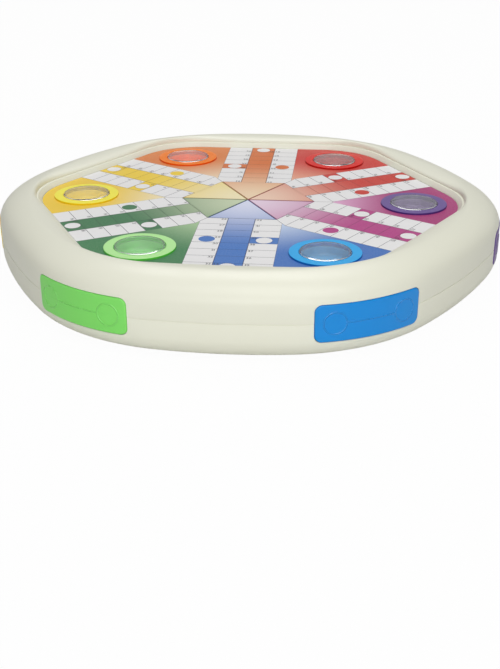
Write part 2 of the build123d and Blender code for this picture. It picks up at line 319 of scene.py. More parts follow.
def chosenSurface(tree, share, first, second, output="Material Output"):
    # the second shader stands in for the first by a share, given as a node and its output
    chosen = shade(tree, "MixShader")
    wire(tree, (*share, chosen, 0), (first, 0, chosen, 1), (second, 0, chosen, 2),
         (chosen, 0, tree.nodes[output], "Surface"))


white = (1, 1, 1, 1)
surfaceOutputs = {"Colour": white, "Roughness": 0.5, "Height": 0.0}


def shaderGroup(name, inputs, outputs):
    # a tuple stands for a colour socket, anything else for a number
    group = bpy.data.node_groups.new(name, "ShaderNodeTree")
    for way, sockets in (("INPUT", inputs), ("OUTPUT", outputs)):
        for label, value in sockets.items():
            kind = "NodeSocketColor" if isinstance(value, tuple) else "NodeSocketFloat"
            group.interface.new_socket(label, in_out=way, socket_type=kind).default_value = value
    return group, group.nodes.new("NodeGroupInput"), group.nodes.new("NodeGroupOutput")


def mouldedGroup():
    # what moulded plastic does to a plain colour: faint flow, handling marks and a fine orange peel
    group, start, end = shaderGroup("mouldedPlastic", {
        "Colour": white, "Shade": (0.5, 0.5, 0.5, 1), "Gloss": 0.35, "Scuff": 0.1}, surfaceOutputs)
    place = shade(group, "TexCoord")
    flow = noise(group, place, 9.0, 3.0, 0.55)
    peel = noise(group, place, 620.0, 2.0)
    marks = noise(group, place, 55.0, 6.0, 0.7, 0.6)
    tone = mapped(group, flow, 0.3, 0.7, 0.0, 0.22)
    scuffs = mapped(group, marks, 0.45, 0.75, 0.0, 1.0)
    mixed = shade(group, "Mix", data_type="RGBA")
    rough = shade(group, "Math", operation="MULTIPLY_ADD")
    wire(group, (tone, "Result", mixed, 0), (start, "Colour", mixed, 6), (start, "Shade", mixed, 7),
         (scuffs, "Result", rough, 0), (start, "Scuff", rough, 1), (start, "Gloss", rough, 2),
         (mixed, 2, end, "Colour"), (rough, 0, end, "Roughness"), (peel, "Fac", end, "Height"))
    return group


def printedGroup():
    # ink on coated card: paper tooth under the ink and a slightly uneven film
    group, start, end = shaderGroup(
        "printedInk", {"Ink": white, "Paper": (0.8, 0.8, 0.8, 1), "Gloss": 0.35}, surfaceOutputs)
    place = shade(group, "TexCoord")
    tooth = noise(group, place, 900.0, 3.0, 0.6)
    film = noise(group, place, 40.0, 2.0)
    thin = mapped(group, tooth, 0.35, 0.75, 0.0, 0.09)
    mixed = shade(group, "Mix", data_type="RGBA")
    rough = shade(group, "Math", {1: 0.16}, operation="MULTIPLY_ADD")
    wire(group, (thin, "Result", mixed, 0), (start, "Ink", mixed, 6), (start, "Paper", mixed, 7),
         (film, "Fac", rough, 0), (start, "Gloss", rough, 2),
         (mixed, 2, end, "Colour"), (rough, 0, end, "Roughness"), (tooth, "Fac", end, "Height"))
    return group


def fadeGroup():
    # how far a place on the board lies from its middle, as a mask from 0 near it to 1 far out
    group, start, end = shaderGroup("boardFade", {"From": 0.0, "To": 0.1}, {"Mask": 0.0})
    place = shade(group, "TexCoord")
    flat = shade(group, "VectorMath", {1: (1.0, 1.0, 0.0)}, operation="MULTIPLY")
    reach = shade(group, "VectorMath", operation="LENGTH")
    share = shade(group, "MapRange", interpolation_type="SMOOTHSTEP")
    wire(group, (place, "Object", flat, 0), (flat, 0, reach, 0), (reach, "Value", share, "Value"),
         (start, "From", share, "From Min"), (start, "To", share, "From Max"), (share, "Result", end, "Mask"))
    return group


moulded, printed, boardFade = mouldedGroup(), printedGroup(), fadeGroup()


def newMaterial(name, values=None):
    material = bpy.data.materials.new(name)
    material.use_nodes = True
    shader = material.node_tree.nodes["Principled BSDF"]
    for label, value in (values or {}).items():
        shader.inputs[label].default_value = value
    return material, material.node_tree, shader


def addBump(tree, shader, source, output, strength, distance):
    bump = shade(tree, "Bump", {"Strength": strength, "Distance": distance})
    wire(tree, (source, output, bump, "Height"), (bump, "Normal", shader, "Normal"))


def joinEffect(tree, shader, effect, strength, distance):
    wire(tree, (effect, "Colour", shader, "Base Color"), (effect, "Roughness", shader, "Roughness"))
    addBump(tree, shader, effect, "Height", strength, distance)


def plasticMaterial(name, colour, deep, gloss, scuff, peel, mirror=0.5, depth=0.0):
    material, tree, shader = newMaterial(name, {
        "Specular IOR Level": mirror, "Subsurface Weight": depth, "Subsurface Scale": 0.002})
    effect = shade(tree, "Group", {
        "Colour": linear(colour), "Shade": linear(deep), "Gloss": gloss, "Scuff": scuff}, node_tree=moulded)
    joinEffect(tree, shader, effect, peel, 0.0002)
    return material


def inkMaterial(name, ink, gloss=0.3, outer=None, start=0, end=0):
    # an outer tone takes over from the ink between two distances from the board's middle
    material, tree, shader = newMaterial(name, {"Specular IOR Level": 0.15})
    effect = shade(tree, "Group", {"Ink": linear(ink), "Paper": linear((235, 235, 235)), "Gloss": gloss},
                   node_tree=printed)
    if outer:
        fade = shade(tree, "Group", {"From": start * mm, "To": end * mm}, node_tree=boardFade)
        mixed = shade(tree, "Mix", {6: linear(ink), 7: linear(outer)}, data_type="RGBA")
        wire(tree, (fade, "Mask", mixed, 0), (mixed, 2, effect, "Ink"))
    joinEffect(tree, shader, effect, 0.12, 0.0001)
    return material


def clearMaterial(name):
    # clear moulded plastic that lets lamp light through to the floor of the dome
    material, tree, shader = newMaterial(name, {
        "Base Color": (0.97, 0.985, 0.99, 1), "Transmission Weight": 1.0, "IOR": 1.49})
    marks = noise(tree, shade(tree, "TexCoord"), 70.0, 5.0, 0.65)
    wire(tree, (mapped(tree, marks, 0.45, 0.8, 0.02, 0.12), "Result", shader, "Roughness"))
    through = shade(tree, "BsdfTransparent", {"Color": (0.9, 0.92, 0.92, 1)})
    chosenSurface(tree, (shade(tree, "LightPath"), "Is Shadow Ray"), shader, through)
    return material


def metalMaterial(name, colour, gloss):
    material, tree, shader = newMaterial(name, {"Metallic": 1.0})
    stretch = shade(tree, "Mapping", {"Scale": (60.0, 900.0, 900.0)})
    grain = noise(tree, stretch, 3.0, 3.0, output="Vector")
    rough = mapped(tree, grain, 0.0, 1.0, gloss - 0.06, gloss + 0.1)
    tint = shade(tree, "Mix", {6: linear(colour), 7: linear([c * 0.85 for c in colour])}, data_type="RGBA")
    wire(tree, (shade(tree, "TexCoord"), "Object", stretch, "Vector"), (rough, "Result", shader, "Roughness"),
         (grain, "Fac", tint, 0), (tint, 2, shader, "Base Color"))
    addBump(tree, shader, grain, "Fac", 0.1, 0.0001)
    return material


finishes = {
    "creamPlastic": {"colour": (236, 236, 219), "deep": (231, 230, 210), "gloss": 0.36, "scuff": 0.1, "peel": 0.06},
    "wellPlastic": {"colour": (226, 226, 214), "deep": (214, 214, 200), "gloss": 0.5, "scuff": 0.1, "peel": 0.1},
    "ivoryPlastic": {"colour": (246, 244, 236), "deep": (240, 236, 222), "gloss": 0.2, "scuff": 0.1, "peel": 0.04},
    "pipPaint": {"colour": (25, 25, 28), "deep": (40, 40, 44), "gloss": 0.3, "scuff": 0.1, "peel": 0.04},
}
casePlastic, wellPlastic, ivoryPlastic, pipInk = [plasticMaterial(name, **f) for name, f in finishes.items()]
clearPlastic = clearMaterial("clearPlastic")
springSteel = metalMaterial("springSteel", (190, 192, 196), 0.3)
screwSteel = metalMaterial("screwZinc", (205, 205, 200), 0.35)

sheens = {
    "Ring": {"gloss": 0.3, "scuff": 0.08, "peel": 0.05, "mirror": 0.2},
    "RingPaintedShade": {"gloss": 0.3, "scuff": 0.08, "peel": 0.05, "mirror": 0.2},
    "Dish": {"gloss": 0.3, "scuff": 0.08, "peel": 0.05, "mirror": 0.3},
    "Drawer": {"gloss": 0.3, "scuff": 0.1, "peel": 0.04, "mirror": 0.4, "depth": 0.05},
    "MarkPaintedShade": {"gloss": 0.25, "scuff": 0.1, "peel": 0.04, "mirror": 0.6, "depth": 0.05},
}
tones = {
    "Ring": {
        "purple": ((112, 88, 154), (98, 74, 142)), "red": ((230, 32, 22), (212, 20, 12)),
        "orange": ((255, 134, 16), (250, 114, 10)), "yellow": ((255, 245, 80), (255, 238, 64)),
        "green": ((190, 247, 164), (178, 243, 150)), "blue": ((49, 178, 245), (40, 166, 236))},
    # painted shade: darker copies of the ring colours, which the rings' steep sides take
    "RingPaintedShade": {
        "purple": ((76, 48, 122), (68, 40, 112)), "red": ((186, 8, 4), (172, 4, 2)),
        "orange": ((236, 86, 2), (226, 74, 0)), "yellow": ((236, 200, 18), (228, 186, 10)),
        "green": ((98, 214, 74), (84, 204, 62)), "blue": ((14, 112, 196), (8, 100, 184))},
    "Dish": {
        "purple": ((114, 95, 134), (102, 84, 122)), "red": ((176, 60, 54), (164, 48, 44)),
        "orange": ((232, 106, 36), (224, 96, 28)), "yellow": ((226, 200, 60), (218, 188, 46)),
        "green": ((118, 188, 106), (104, 178, 92)), "blue": ((76, 138, 178), (64, 126, 168))},
    "Drawer": {
        "purple": ((96, 62, 140), (88, 54, 132)), "red": ((222, 36, 32), (212, 28, 24)),
        "orange": ((250, 124, 36), (244, 114, 28)), "yellow": ((250, 220, 46), (246, 208, 30)),
        "green": ((132, 230, 106), (124, 224, 96)), "blue": ((6, 142, 224), (2, 134, 216))},
}
markShadeTone = 0.955  # painted shade: the raised marks are painted this much darker than the drawer's front, for the shade along their edges
tones["MarkPaintedShade"] = {player: [[channel * markShadeTone for channel in tone] for tone in pair]
                 for player, pair in tones["Drawer"].items()}
plastic = {kind: {player: plasticMaterial(player + kind, *pair, **sheens[kind])
                  for player, pair in pairs.items()} for kind, pairs in tones.items()}
print("materials made")


# the two shells of the case

rimForm = {"footRound": 0.2, "lipRound": 0.45, "valleyRound": 0.25, "crownFootRound": 0.35, "seamRound": 0.12}
frontForm = {"halfWidth": 41.3, "height": 27.7, "corner": 5.0, "gap": 0.4, "proud": 0.6, "thickness": 2.4,
             "cut": (169, 232), "smallestCorner": 0.01, "sides": 24, "insetSteps": 20, "insetPower": 0.9,
             "middleGap": 0.02, "backSteps": 10}
stationForm = {"radius": 138.4645, "holeRadius": 22.4, "holeSides": 96,
               "upperCut": (half, 70), "lowerCut": (-10, half)}
bayForm = {"start": 167.7645, "halfWidth": 43.3, "guideWall": 2.0, "spacing": 50.0, "trayFloor": 19.55,
           "trayHeight": 22.5, "slideGap": 0.3, "sunkEnd": 0.6, "railHalf": 1.0, "edge": 0.25}


def stationPlace(player):
    # a station's own axes, with the board's surface at zero height
    return turnZ(playerTurn[player]) @ Matrix.Translation((stationForm["radius"], 0, boardLevel))


racePlace = Matrix.Translation((0, 0, caseForm["height"] - boardLevel)) @ Matrix.Rotation(math.pi, 4, "X")


def shellRings(turn):
    # the shell's section as rings over the turn, from the deck's middle out over the rim and back inside
    f, r = caseForm, rimForm
    recess = f["boardApothem"] + f["boardGap"]
    deckLevel = boardLevel - f["boardThickness"]
    lipFoot = boardLevel + f["boardGap"]
    lipLevel = lipFoot + f["lipHeight"]
    valleyLevel = lipLevel - f["valleyDepth"]
    valleyApothem = recess + f["lipRun"] + f["valleyWidth"]
    valleyCorner = f["boardCorner"] + f["lipRun"]
    valleyReach = (valleyApothem - valleyCorner) / math.cos(toSide) + valleyCorner
    foot = straightRadius(turn, recess, f["boardCorner"])
    lipTop = straightRadius(turn, recess + f["lipRun"], valleyCorner)
    lipEnd = foot + (lipTop - foot) * (1 - f["valleyDepth"] / f["lipHeight"])
    valley = straightRadius(turn, valleyApothem, valleyCorner)
    rings = [(foot, deckLevel, 0), (foot, lipFoot, r["footRound"]), (lipEnd, valleyLevel, r["lipRound"]),
             (valley, valleyLevel, r["valleyRound"]), (valley, lipLevel, r["crownFootRound"])]
    # the crown rolls up from the valley, and after its land the shoulder rolls down to the straight wall
    crown = math.radians(f["crownAngle"])
    angles = [crown * step / f["rollSteps"] for step in range(f["rollSteps"] + 1)]
    crownApothem, crownReach, _ = caseBow(1)
    for angle in angles[1:]:
        run = (1 - math.cos(angle)) / (1 - math.cos(crown))
        apothem = valleyApothem + (crownApothem - f["landWidth"] - valleyApothem) * run
        reach = valleyReach + (crownReach - f["landWidth"] - valleyReach) * run
        level = lipLevel + (f["height"] - lipLevel) * math.sin(angle) / math.sin(crown)
        rings.append((bowedRadius(turn, apothem, reach, f["crownBow"] / run), level, 0))
    for angle in angles[::-1]:
        level = half + f["straightWall"] + (half - f["straightWall"]) * math.sin(angle) / math.sin(crown)
        rings.append((bowedRadius(turn, *caseBow(shoulderShare(level))), level, 0))
    inner = bowedRadius(turn, *caseBow(0, -f["wall"]))
    groove = bowedRadius(turn, *caseBow(0, -f["seamDepth"]))
    ceiling = f["height"] - f["crownDepth"]
    apothem, reach, bow = caseBow(shoulderShare(ceiling))
    core = straightRadius(turn, recess + f["wall"], f["boardCorner"] + f["wall"])
    return rings + [
        (bowedRadius(turn, *caseBow(0)), half + f["seamWidth"], r["seamRound"]),
        (groove, half + f["seamWidth"], 0), (groove, half, 0), (inner, half, 0),
        (inner, half + f["straightWall"], 0),
        (bowedRadius(turn, apothem - f["wall"], reach - f["wall"], bow), ceiling, 0),
        (core, ceiling, 0), (core, deckLevel - f["deckThickness"], 0)]


def roundedLoop(halfWidth, halfHeight, corner, sides=1, each=10):
    # rounded rectangle, with points along its straight sides too and always the same number of them
    def corners(index, step):
        cx, cy = ((1, 1), (-1, 1), (-1, -1), (1, -1))[index % 4]
        a, b = polar(corner, math.radians(90 * (index + step / each)))
        return np.array((cx * (halfWidth - corner) + a, cy * (halfHeight - corner) + b))

    points = []
    for index in range(4):
        points += [corners(index, step) for step in range(each + 1)]
        here, target = points[-1], corners(index + 1, 0)
        number = sides if index % 2 == 0 else sides // 3
        points += [here + (target - here) * step / number for step in range(1, number)]
    return [(float(y), float(z)) for y, z in points]


def cutterMesh(holes):
    # door openings at the six corners and round holes in the deck, as one cutting mesh
    g, s = frontForm, stationForm
    door = roundedLoop(g["halfWidth"] + g["gap"], g["height"] / 2 + g["gap"], g["corner"] + g["gap"])
    blocks = [([(y, z + half) for y, z in door], g["cut"], turnZ(degrees)) for degrees in playerTurn.values()]
    upright = Matrix(((0, 1, 0, 0), (0, 0, 1, 0), (1, 0, 0, 0), (0, 0, 0, 1)))
    blocks += [(circle(x, y, s["holeRadius"], s["holeSides"]), span, upright) for x, y, span in holes]
    verts, faces = [], []
    for outline, span, place in blocks:
        # the outline is swept along X and then set in place
        start, count = len(verts), len(outline)
        verts += [place @ Vector((x, y, z)) for x in span for y, z in outline]
        faces += [tuple(range(start, start + count))[::-1], tuple(range(start + count, start + 2 * count))]
        faces += bands([start, start + count], count)
    return smoothByAngle(meshFrom("cutter", verts, faces))


def cutAway(mesh, cutter):
    body, tool = linked("blank", mesh), linked("tool", cutter)
    cut = body.modifiers.new("cut", "BOOLEAN")
    cut.operation, cut.solver, cut.object = "DIFFERENCE", "EXACT", tool
    done = evaluated(body)
    bpy.data.objects.remove(tool)
    return done


def guideMeshes(upper):
    # side walls, back stops and rails of the six drawer bays
    b, f = bayForm, caseForm
    deck = boardLevel - f["boardThickness"] - f["deckThickness"] / 2
    side = b["halfWidth"] + b["guideWall"]
    if upper:
        low, high, rails = half, deck, (b["trayFloor"] + b["trayHeight"] + b["slideGap"], deck)
    else:
        low, high, rails = f["height"] - deck, half, (f["height"] - deck, b["trayFloor"] - b["slideGap"])
    spans = [((b["start"] - b["guideWall"], -side, low), (b["start"], side, high))]
    for sign in (-1, 1):
        y = sorted((sign * b["halfWidth"], sign * side))
        spans.append(((b["start"], y[0], low), (wallReach(side) + b["sunkEnd"], y[1], high)))
        middle = sign * b["spacing"] / 2
        spans.append(((b["start"], middle - b["railHalf"], rails[0]),
                      (wallReach(b["spacing"] / 2) + b["sunkEnd"], middle + b["railHalf"], rails[1])))
    return [boxMesh("guide", *span, turnZ(degrees), b["edge"])
            for degrees in playerTurn.values() for span in spans]


def buildShell(name, upper):
    f = caseForm
    count = f["turns"]
    turn = np.arange(count) * 2 * math.pi / count
    rings = softCorners(shellRings(turn), f["arcSteps"], f["arcShare"])
    points = np.concatenate([np.stack([radius * np.cos(turn), radius * np.sin(turn), level], axis=1)
                             for radius, level in rings])
    last = len(points) - count
    if upper:
        holes = [(*stationPlace(player).translation.xy, stationForm["upperCut"]) for player in playerTurn]
    else:
        points[:, 2] = f["height"] - points[:, 2]
        holes = [(0, 0, stationForm["lowerCut"])]
    faces = bands(range(0, len(points), count), count) + [range(count), range(last, last + count)]
    mesh = cutAway(smoothByAngle(meshFrom(name, points, faces)), cutterMesh(holes))
    return smoothByAngle(joinMeshes(name, [mesh, *guideMeshes(upper)], [casePlastic]), recalc=False)


for name, cad, upper in (("caseUpper", "upper_shell", True), ("caseLower", "lower_shell", False)):
    shell = addPiece(name, buildShell(name, upper), "case", "case_plastic", cad)
    print(name, "made:", len(shell.data.polygons), "faces")


# rings, domes and dishes

ringForm = {"bore": 19.8, "outer": 27.2, "rise": 1.6, "skirtOuter": 22.2, "skirtBore": 20.4, "skirtLength": 8.0,
            "edge": 0.5, "boreEdge": 0.3, "paintedShadeSteepness": 0.6, "segments": 160}
domeForm = {"radius": 19.4, "top": 2.6, "wall": 1.0, "edge": 0.9, "flange": 20.2, "flangeThickness": 1.6,
            "steps": 6}
dishForm = {"rim": 20.2, "rimThickness": 1.4, "bowl": 18.4, "depth": 7.2, "wall": 1.0, "slope": 1.0,
            "floorEdge": 1.6, "boss": 3.0, "bottom": 12.0}

# each station's piece name, place, player, pressed body and how its CAD nodes are called
stations = [(player, stationPlace(player), player, "press_" + player, "%s_" + player) for player in playerTurn]
stations.append(("race", racePlace, "red", "race_press", "race_%s"))


def ringMesh(name, place, player):
    # painted shade: the ring's steep sides take a darker copy of its plastic, for the shade that falls on them
    r = ringForm
    mesh = withMaterial(turnedMesh(name, [
        (r["bore"], 0, 0.15), (r["bore"], r["rise"], r["boreEdge"]), (r["outer"], r["rise"], r["edge"]),
        (r["outer"], 0, 0), (r["skirtOuter"], 0, 0), (r["skirtOuter"], -r["skirtLength"], 0.3),
        (r["skirtBore"], -r["skirtLength"], 0.3), (r["skirtBore"], 0, 0)], True, place, r["segments"]),
        plastic["Ring"][player])
    mesh.materials.append(plastic["RingPaintedShade"][player])
    for polygon in mesh.polygons:
        polygon.material_index = int(abs(polygon.normal.z) < r["paintedShadeSteepness"])
    return mesh


def domeMesh(name, place):
    d = domeForm
    inside = d["radius"] - d["wall"]
    mesh = turnedMesh(name, [
        (0, d["top"], 0), (d["radius"], d["top"], d["edge"]), (d["radius"], 0, 0.2), (d["flange"], 0, 0.15),
        (d["flange"], -d["flangeThickness"], 0), (inside, -d["flangeThickness"], 0),
        (inside, d["top"] - d["wall"], 0.8), (0, d["top"] - d["wall"], 0)], False, place, steps=d["steps"])
    return withMaterial(mesh, clearPlastic)


def dishMesh(name, place, player):
    s = dishForm
    top = -domeForm["flangeThickness"]
    low = top - s["depth"]
    base = low - s["wall"]
    under = top - s["rimThickness"]
    foot = s["bowl"] - s["slope"]
    mesh = turnedMesh(name, [
        (0, low, 0), (foot - s["floorEdge"], low, 1.2), (foot, low + s["floorEdge"], 1.2),
        (s["bowl"], top, 0.2), (s["rim"], top, 0.2), (s["rim"], under, 0.2),
        (s["bowl"] + s["wall"], under, 0.2), (foot + s["wall"], low, 0.6), (foot - s["floorEdge"], base, 0.6),
        (s["boss"], base, 0.3), (s["boss"], -s["bottom"], 0.4), (0, -s["bottom"], 0)], False, place)
    return withMaterial(mesh, plastic["Dish"][player])


for name, place, player, pressed, cad in stations:
    tinted = player + "_plastic"
    addPiece("collar_" + name, ringMesh("collar_" + name, place, player), "case", tinted, cad % "ring")
    addPiece("cap_" + name, domeMesh("cap_" + name, place), pressed, "clear_plastic", cad % "dome")
    addPiece("floor_" + name, dishMesh("floor_" + name, place, player), pressed, tinted, cad % "dish")
print("rings, domes and dishes made")


# bowed click springs, which flatten under the dishes

clickForm = {"halfLength": 19.0, "halfWidth": 3.0, "thickness": 0.4, "low": -15.4, "high": -12.1, "edge": 0.12,
             "steps": 48, "keep": 0.12}  # keep is the share of the height that a full press leaves


def arcHeight(across, ends, middle):
    # height of the arc through both ends and its middle, at a place along the strip
    rise = middle - ends
    radius = (clickForm["halfLength"] ** 2 + rise * rise) / (2 * rise)
    return middle - radius + math.sqrt(radius * radius - across * across)


def clickMesh(name, place):
    c = clickForm
    wide, edge, thick = c["halfWidth"], c["edge"], c["thickness"]
    verts = []
    for step in range(c["steps"] + 1):
        x = c["halfLength"] * (2 * step / c["steps"] - 1)
        under = arcHeight(x, c["low"], c["high"] - thick)
        over = arcHeight(x, c["low"] + thick, c["high"])
        section = [(-wide, under + edge), (-wide + edge, under), (wide - edge, under), (wide, under + edge),
                   (wide, over - edge), (wide - edge, over), (-wide + edge, over), (-wide, over - edge)]
        verts += [place @ Vector((x, y, z)) for y, z in section]
    count = len(section)
    faces = bands(range(0, len(verts), count), count)
    faces += [range(count)[::-1], range(len(verts) - count, len(verts))]
    return smoothByAngle(withMaterial(meshFrom(name, verts, faces), springSteel))


for name, place, player, pressed, cad in stations:
    strip = addPiece("strip_" + name, clickMesh("strip_" + name, place), "case", "spring_steel", cad % "spring")
    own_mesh(strip)
print("click springs made")


# drawers with their thumb circles

thumbForm = {"spacing": 54.6, "radius": 8.25, "ridge": 0.85, "sunk": 0.5, "sides": 72, "steps": 40,
             "beadSides": 12}
trayForm = {"start": 168.0645, "halfWidth": 38.0, "wall": 1.8, "floor": 19.55, "height": 22.5, "edge": 0.3,
            "footRise": 1.0, "footRun": 0.9, "footShare": 0.975, "tuck": 0.6, "steps": 24,
            "lugEnd": 174.05, "lugHalfWidth": 43.0, "lugHeight": 8.0, "lugSunk": 0.5}


def frontPlate(name):
    # plate that follows the corner, as loops from its edge in to its middle line, with a rounded edge
    g = frontForm
    tall = g["height"] / 2

    def loop(inset, drop, grow):
        corner = max(g["corner"] - inset, g["smallestCorner"])
        return [onFront(y, z, -drop, grow)
                for y, z in roundedLoop(g["halfWidth"] - inset, tall - inset, corner, g["sides"])]

    # each inset with its drop below the surface
    insets = [(0.0, 1.2), (0.0, 0.55), (0.12, 0.25), (0.35, 0.08), (0.7, 0.0)]
    rolled, deepest = insets[-1][0], tall - g["middleGap"]
    insets += [(rolled + (deepest - rolled) * (k / g["insetSteps"]) ** g["insetPower"], 0.0)
               for k in range(1, g["insetSteps"] + 1)]
    loops = [loop(inset, drop, g["proud"]) for inset, drop in insets]
    loops += [loop(tall * k / g["backSteps"], 0.0, g["proud"] - g["thickness"]) for k in range(g["backSteps"])]
    count = len(loops[0])
    starts = [k * count for k in range(len(loops))]
    front, back = starts[:len(insets)], starts[len(insets):]
    faces = bands(front, count) + bands(back[::-1] + [0], count)
    faces += [range(front[-1], front[-1] + count), range(back[-1], back[-1] + count)[::-1]]
    return smoothByAngle(meshFrom(name, [point for part in loops for point in part], faces), 40)


def trayMesh(name):
    # open tray behind the front, with its front end cut to the front's curve, and the two side lugs
    t, g = trayForm, frontForm
    top, base = t["floor"] + t["height"], t["floor"] + t["wall"]
    side, back = t["halfWidth"], t["start"] + t["wall"]
    inner = side - t["wall"]

    def loop(reach, start, level, grow):
        across = [2 * reach * k / t["steps"] - reach for k in range(t["steps"] + 1)]
        return [(start, across[0], level), *[onFront(y, level - half, 0.0, g["proud"] - grow) for y in across],
                (start, across[-1], level)]

    tuck, thick = g["thickness"] * t["tuck"], g["thickness"]
    rings = [loop(side, t["start"], t["floor"], tuck), loop(side, t["start"], top - t["edge"], tuck),
             loop(side, t["start"] + t["edge"], top, tuck), loop(inner, back - t["edge"], top, thick),
             loop(inner, back, top - t["edge"], thick), loop(inner, back, base + t["footRise"], thick),
             loop(inner * t["footShare"], back + t["footRun"], base, thick + t["footRun"])]
    count = len(rings[0])
    verts = [point for ring in rings for point in ring]
    faces = [range(count)[::-1], *bands(range(0, len(verts), count), count),
             range(len(verts) - count, len(verts))]
    spans = [sorted((sign * (side - t["lugSunk"]), sign * t["lugHalfWidth"])) for sign in (-1, 1)]
    low, high = half - t["lugHeight"] / 2, half + t["lugHeight"] / 2
    return [smoothByAngle(meshFrom(name, verts, faces))] + [
        boxMesh("lug", (t["start"], left, low), (t["lugEnd"], right, high)) for left, right in spans]


def markLines():
    # the paths of the raised marks: two circles and the line between them
    t = thumbForm
    reach = t["spacing"] / 2 - t["radius"]
    paths = [(circle(sign * t["spacing"] / 2, 0, t["radius"], t["sides"]), t["sides"]) for sign in (-1, 1)]
    paths.append(([(2 * reach * k / t["steps"] - reach, 0.0) for k in range(t["steps"] + 1)], t["steps"]))
    verts, edges = [], []
    for path, count in paths:
        edges += [(len(verts) + k, len(verts) + (k + 1) % len(path)) for k in range(count)]
        verts += [tuple(c * mm for c in onFront(y, z, -t["sunk"], frontForm["proud"])) for y, z in path]
    mesh = bpy.data.meshes.new("markPath")
    mesh.from_pydata(verts, edges, [])
    return mesh


def geometryTree(name, given, numbers, result):
    # a node tree that ends by making its copies real and painting them
    tree = bpy.data.node_groups.new(name, "GeometryNodeTree")
    socket = tree.interface.new_socket
    socket(given, in_out="INPUT", socket_type="NodeSocketGeometry")
    for label, value in numbers.items():
        kind = "NodeSocketInt" if isinstance(value, int) else "NodeSocketFloat"
        socket(label, in_out="INPUT", socket_type=kind).default_value = value
    socket("Finish", in_out="INPUT", socket_type="NodeSocketMaterial")
    socket(result, in_out="OUTPUT", socket_type="NodeSocketGeometry")
    start, end = tree.nodes.new("NodeGroupInput"), tree.nodes.new("NodeGroupOutput")
    real, paint = node(tree, "GeometryNodeRealizeInstances"), node(tree, "GeometryNodeSetMaterial")
    wire(tree, (real, "Geometry", paint, "Geometry"), (start, "Finish", paint, "Material"),
         (paint, "Geometry", end, result))
    return tree, start, real


def tubeTree():
    # sweeps a round bead along every line of the mesh that it is given
    tree, start, real = geometryTree(
        "beadAlongLines", "Lines", {"Bead radius": 0.0004, "Bead sides": 12}, "Beads")
    lines = node(tree, "GeometryNodeMeshToCurve")
    ring = node(tree, "GeometryNodeCurvePrimitiveCircle")
    sweep = node(tree, "GeometryNodeCurveToMesh", {"Fill Caps": True})
    wire(tree, (start, "Lines", lines, "Mesh"), (start, "Bead radius", ring, "Radius"),
         (start, "Bead sides", ring, "Resolution"), (lines, "Curve", sweep, "Curve"),
         (ring, "Curve", sweep, "Profile Curve"), (sweep, "Mesh", real, "Geometry"))
    return tree


def gridTree():
    # sets copies of the mesh that it is given on a grid, each turned a little
    tree, start, real = geometryTree(
        "copiesOnGrid", "Copy", {"Rows": 2, "Columns": 2, "Pitch": 0.0117, "Seed": 4}, "Copies")
    grid = node(tree, "GeometryNodeMeshGrid")
    for count, size, number in (("Rows", "Size X", "Vertices X"), ("Columns", "Size Y", "Vertices Y")):
        less = shade(tree, "Math", {1: 1}, operation="SUBTRACT")
        wide = shade(tree, "Math", operation="MULTIPLY")
        wire(tree, (start, count, less, 0), (less, 0, wide, 0), (start, "Pitch", wide, 1),
             (wide, 0, grid, size), (start, count, grid, number))
    turns = node(tree, "FunctionNodeRandomValue", {0: (0, 0, 0), 1: (0, 0, 6.28)}, data_type="FLOAT_VECTOR")
    spots = node(tree, "GeometryNodeInstanceOnPoints")
    wire(tree, (start, "Seed", turns, "Seed"), (grid, "Mesh", spots, "Points"),
         (start, "Copy", spots, "Instance"), (turns, "Value", spots, "Rotation"),
         (spots, "Instances", real, "Geometry"))
    return tree


def runTree(tree, mesh, values):
    # gives the mesh to a node tree and returns the plain mesh that comes out
    holder = linked("holder", mesh)
    modifier = holder.modifiers.new("nodes", "NODES")
    modifier.node_group = tree
    for item in tree.interface.items_tree:
        if item.in_out == "INPUT" and item.name in values:
            modifier[item.identifier] = values[item.name]
    return evaluated(holder)


counterForm = {"radius": 5.25, "height": 4.5, "rim": 1.2, "dish": 0.8, "slope": 0.3, "pitch": 11.7,
               "firstX": 176.3145, "firstY": -9.0, "floor": 21.35, "segments": 64, "firstSeed": 3}
dieForm = {"size": 8.0, "edge": 1.1, "middleX": 181.5645, "middleY": 16.0, "pip": 0.72, "pipOut": 2.1,
           "pipDepth": 0.2, "pipRise": 0.05, "pipRound": 0.03, "pipSunk": 0.02, "pipSides": 20}


def counterMesh(name):
    c = counterForm
    top, inner = c["height"], c["radius"] - c["rim"]
    return turnedMesh(name, [
        (0, 0, 0), (c["radius"], 0, 0.35), (c["radius"], top, 0.45), (inner, top, 0.35),
        (inner - c["slope"], top - c["dish"], 0.3), (0, top - c["dish"], 0)],
        False, Matrix.Identity(4), c["segments"])


def dieMesh(name):
    d = dieForm
    size, o = d["size"] / 2, d["pipOut"]
    two, four, six = [(-o, -o), (o, o)], [(-o, o), (o, -o)], [(-o, 0), (o, 0)]
    one = [(0, 0)]
    sides = {(0, 0, 1): one, (0, 0, -1): two + four + six, (1, 0, 0): two, (-1, 0, 0): two + four + one,
             (0, 1, 0): two + one, (0, -1, 0): two + four}
    pip = [(0, -d["pipDepth"], 0), (d["pip"], -d["pipDepth"], 0), (d["pip"], d["pipRise"], d["pipRound"]),
           (0, d["pipRise"], 0)]
    parts = [boxMesh(name, (-size,) * 3, (size,) * 3, bevel=d["edge"])]
    for direction, spots in sides.items():
        face = Vector(direction).to_track_quat("Z", "Y").to_matrix().to_4x4()
        parts += [turnedMesh("pip", pip, False, face @ Matrix.Translation((x, y, size - d["pipSunk"])),
                             d["pipSides"], 2) for x, y in spots]
    return joinMeshes(name, parts, [ivoryPlastic, pipInk], 1)


